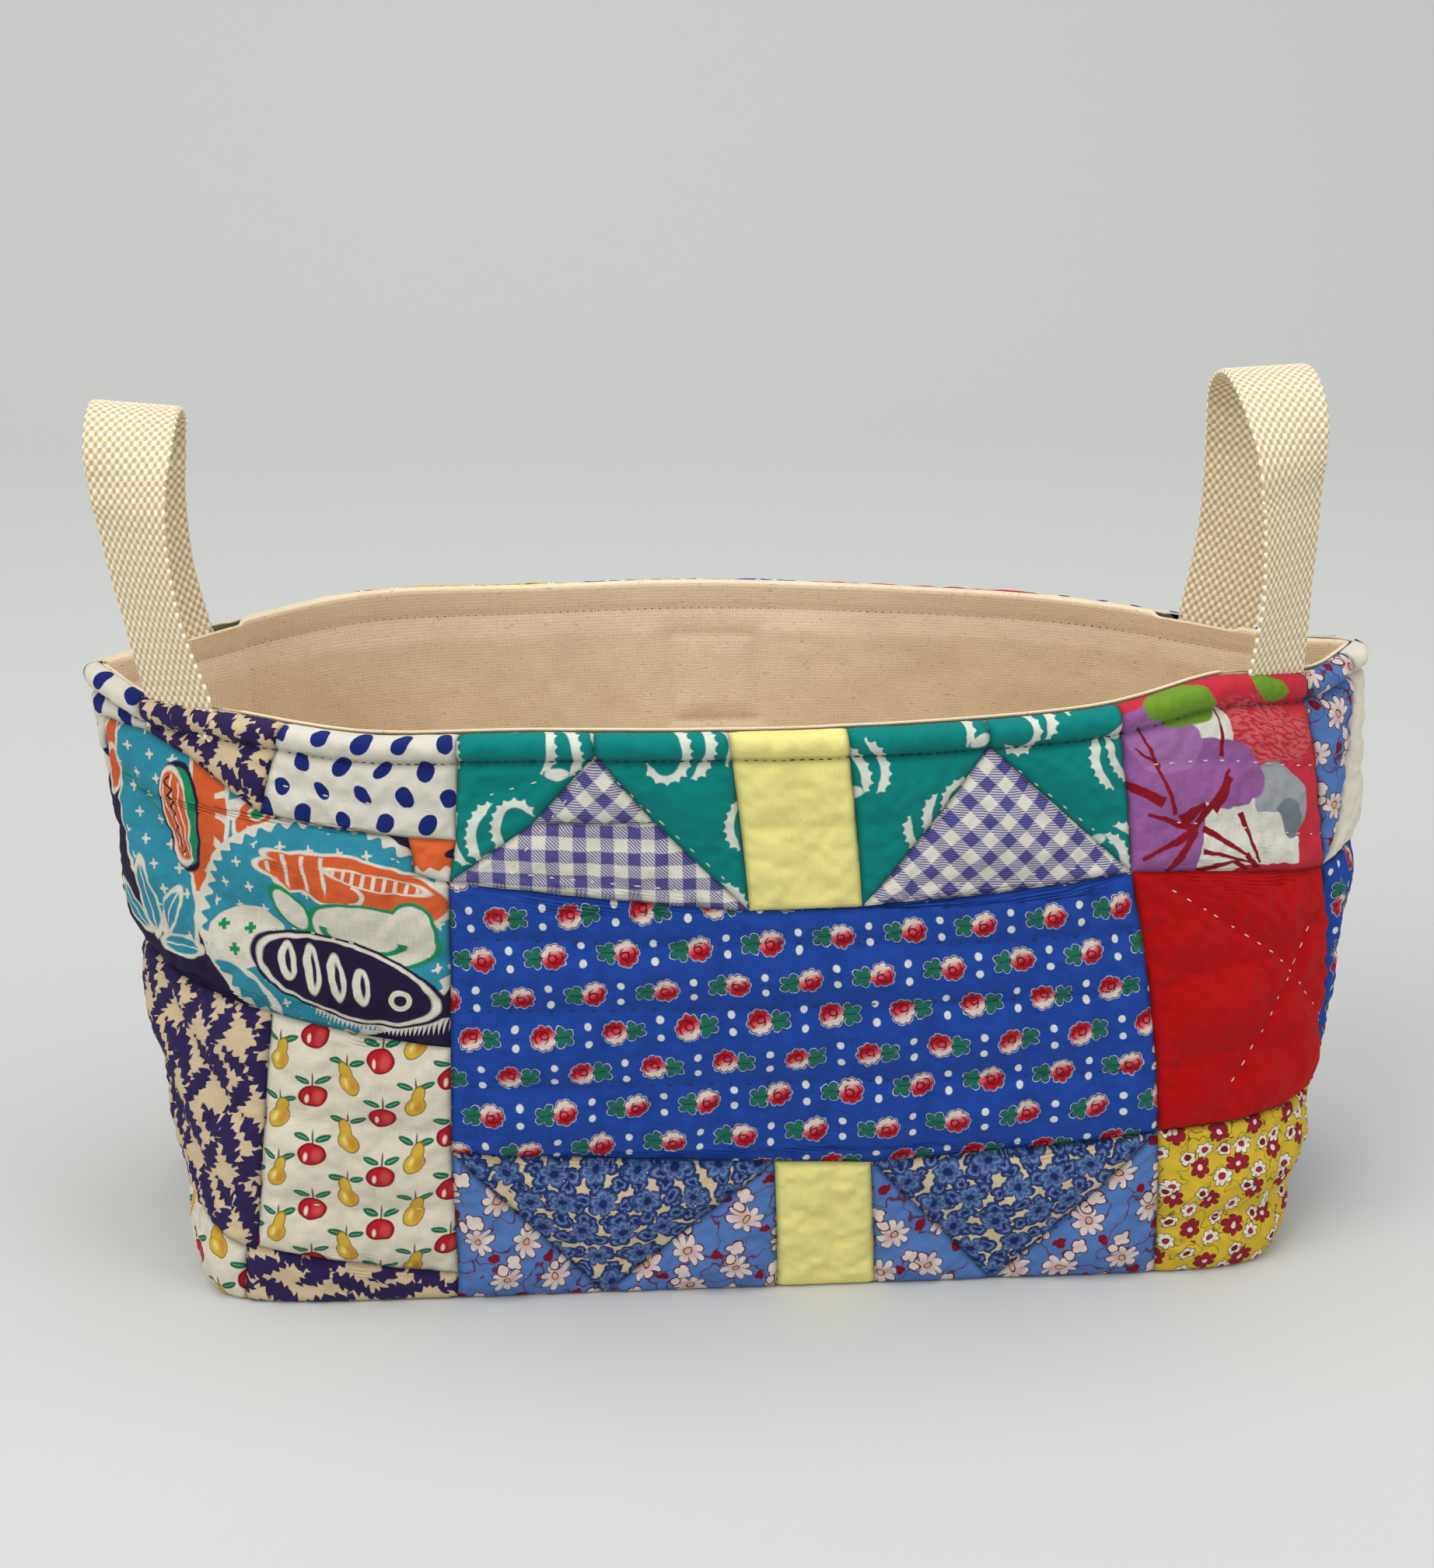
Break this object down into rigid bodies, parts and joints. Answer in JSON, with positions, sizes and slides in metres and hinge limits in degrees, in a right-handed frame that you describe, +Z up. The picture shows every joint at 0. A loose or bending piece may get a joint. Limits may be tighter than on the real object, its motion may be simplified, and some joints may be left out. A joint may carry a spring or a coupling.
{
  "type": "sewing basket",
  "caption": "Soft quilted patchwork bin with a boxed base, a cotton duck lining and a webbing loop handle at each end.",
  "frame": {"origin": "middle of the base, on the surface it stands on", "axes": "+X along the basket from one handle to the other, +Y to the back, +Z up out of the opening"},
  "size_m": [0.3811, 0.1443, 0.2607],
  "materials": {
    "base_cloth": "washed quilting cotton, matt",
    "big_flower_print": "washed quilting cotton, matt",
    "blue_daisy_print": "washed quilting cotton, matt",
    "calico_print": "washed quilting cotton, matt",
    "cotton_batting": "soft, unbleached",
    "cotton_duck": "plain weave, unbleached, matt",
    "cotton_webbing": "heavy ribbed weave, matt",
    "cream_cotton": "washed quilting cotton, matt",
    "cream_thread": "matt thread",
    "fruit_print": "washed quilting cotton, matt",
    "gingham": "washed quilting cotton, matt",
    "muslin": "washed quilting cotton, matt",
    "navy_thread": "matt thread",
    "paisley_print": "washed quilting cotton, matt",
    "plain_tape": "washed quilting cotton, matt",
    "polka_dot_print": "washed quilting cotton, matt",
    "red_cotton": "washed quilting cotton, matt",
    "rose_print": "washed quilting cotton, matt",
    "teal_frond_print": "washed quilting cotton, matt",
    "yellow_cotton": "washed quilting cotton, matt",
    "yellow_daisy_print": "washed quilting cotton, matt",
    "zigzag_print": "washed quilting cotton, matt"
  },
  "bodies": {
    "root": {"back_backing": "muslin", "back_batting": "cotton_batting", "back_big_flower_patch": "big_flower_print", "back_calico_patch": "calico_print", "back_cream_patch": "cream_cotton", "back_gingham_patch": "gingham", "back_lining": "cotton_duck", "back_polka_dot_patch": "polka_dot_print", "back_red_patch": "red_cotton", "back_rose_patch": "rose_print", "back_teal_patch": "teal_frond_print", "back_yellow_daisy_patch": "yellow_daisy_print", "back_zigzag_patch": "zigzag_print", "base_batting": "cotton_batting", "base_lining": "cotton_duck", "base_panel": "base_cloth", "big_flower_patch": "big_flower_print", "calico_end_patch": "calico_print", "calico_left_patch": "calico_print", "calico_right_patch": "calico_print", "cream_end_patch": "cream_cotton", "daisy_end_patch": "blue_daisy_print", "daisy_patch_1": "blue_daisy_print", "daisy_patch_2": "blue_daisy_print", "daisy_patch_3": "blue_daisy_print", "daisy_patch_4": "blue_daisy_print", "front_backing": "muslin", "front_batting": "cotton_batting", "front_lining": "cotton_duck", "fruit_corner_patch": "fruit_print", "fruit_patch": "fruit_print", "gingham_left_patch": "gingham", "gingham_right_patch": "gingham", "gingham_tip_patch": "gingham", "left_handle_tails": "cotton_webbing", "orange_scrap_patch": "paisley_print", "paisley_patch": "paisley_print", "polka_dot_patch": "polka_dot_print", "polka_dot_tip_patch": "polka_dot_print", "red_patch": "red_cotton", "right_handle_tails": "cotton_webbing", "rim_topstitch": "navy_thread", "rose_end_patch": "rose_print", "rose_panel_patch": "rose_print", "square_patch": "plain_tape", "square_patch_stitching": "cream_thread", "teal_patch_1": "teal_frond_print", "teal_patch_2": "teal_frond_print", "teal_patch_3": "teal_frond_print", "teal_patch_4": "teal_frond_print", "yellow_daisy_patch": "yellow_daisy_print", "yellow_lower_patch": "yellow_cotton", "yellow_upper_patch": "yellow_cotton", "zigzag_foot_patch": "zigzag_print", "zigzag_left_patch": "zigzag_print", "zigzag_rim_patch": "zigzag_print"},
    "left_handle": {"left_handle_webbing": "cotton_webbing"},
    "right_handle": {"right_handle_webbing": "cotton_webbing"}
  },
  "joints": [
    {"name": "left_handle_fold", "type": "hinge", "parent": "root", "child": "left_handle", "pos_m": [-0.1641, 0, 0.18915], "axis": [0, 1, 0], "range_deg": [-68, 82], "stiffness_Nm_per_rad": 0.02},
    {"name": "right_handle_fold", "type": "hinge", "parent": "root", "child": "right_handle", "pos_m": [0.1528, 0, 0.1896], "axis": [0, -1, 0], "range_deg": [-72, 78], "stiffness_Nm_per_rad": 0.02}
  ]
}
